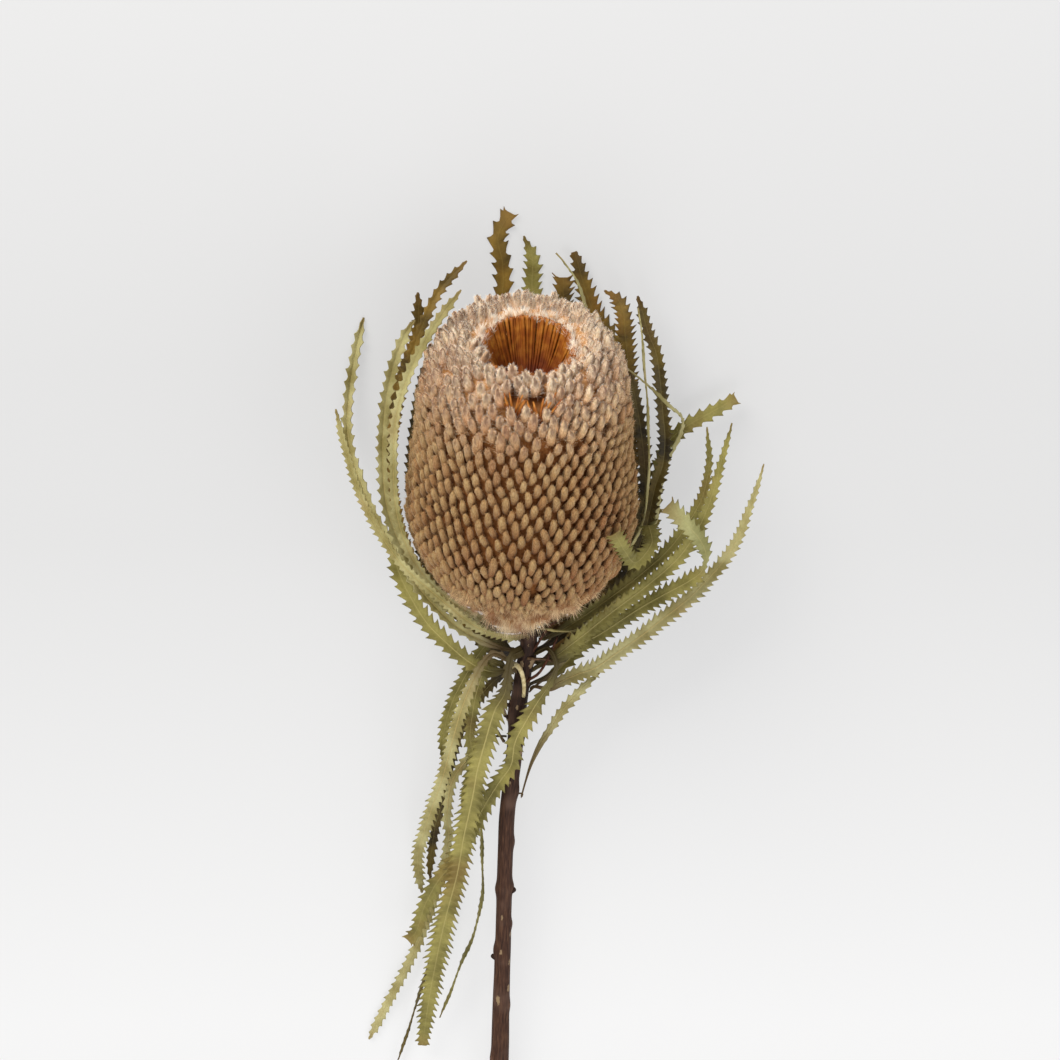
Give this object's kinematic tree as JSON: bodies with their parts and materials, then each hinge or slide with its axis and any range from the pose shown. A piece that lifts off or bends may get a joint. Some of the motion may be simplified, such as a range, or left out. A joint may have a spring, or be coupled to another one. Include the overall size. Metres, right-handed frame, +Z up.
{
  "type": "dried banksia flower",
  "caption": "Dried banksia flower lying down: a barrel-shaped woolly head with a pit of flower tubes at its crown, on a bare woody stem with long saw-toothed leaves",
  "frame": {"origin": "middle of the small flat on the underside of the flower head, on the surface that it lies on", "axes": "+Y runs along the flower from its cut stem end to its crown, +Z is up from the surface, +X is to the right when the crown points away"},
  "size_m": [0.1723, 0.4325, 0.0949],
  "materials": {
    "florets": "matte",
    "flower_tubes": "matte",
    "stem_bark": "matte",
    "leaf_pale": "matte",
    "leaf_olive": "matte",
    "leaf_brown": "matte"
  },
  "bodies": {
    "root": {"flower_head": "florets", "crown_tubes": "flower_tubes", "stem": "stem_bark", "leaf_left_front": "leaf_pale", "leaf_left_inner": "leaf_pale", "leaf_left_side": "leaf_pale", "leaf_left_long": "leaf_olive", "leaf_left_low": "leaf_brown", "leaf_left_shoulder": "leaf_brown", "leaf_left_shoulder_back": "leaf_brown", "leaf_left_under": "leaf_brown", "leaf_down_broad": "leaf_olive", "leaf_down_pale": "leaf_pale", "leaf_down_inner": "leaf_brown", "leaf_down_dark": "leaf_brown", "leaf_down_under": "leaf_brown", "leaf_down_ribbon": "leaf_pale", "leaf_down_crossing": "leaf_olive", "leaf_down_edge": "leaf_olive", "leaf_down_thin": "leaf_brown", "leaf_right_long": "leaf_pale", "leaf_right_hooked": "leaf_brown", "leaf_right_middle": "leaf_olive", "leaf_right_upper": "leaf_olive", "leaf_right_curl": "leaf_pale", "leaf_right_low": "leaf_pale", "leaf_right_sliver": "leaf_pale", "leaf_right_behind": "leaf_brown", "leaf_right_tall": "leaf_brown", "leaf_right_edge": "leaf_pale", "leaf_right_thread": "leaf_pale", "leaf_right_spur": "leaf_olive", "leaf_top_left": "leaf_brown", "leaf_top_middle": "leaf_olive", "leaf_top_blunt": "leaf_brown", "leaf_top_thread": "leaf_pale", "leaf_top_forked": "leaf_brown", "leaf_top_right": "leaf_olive"}
  },
  "joints": []
}
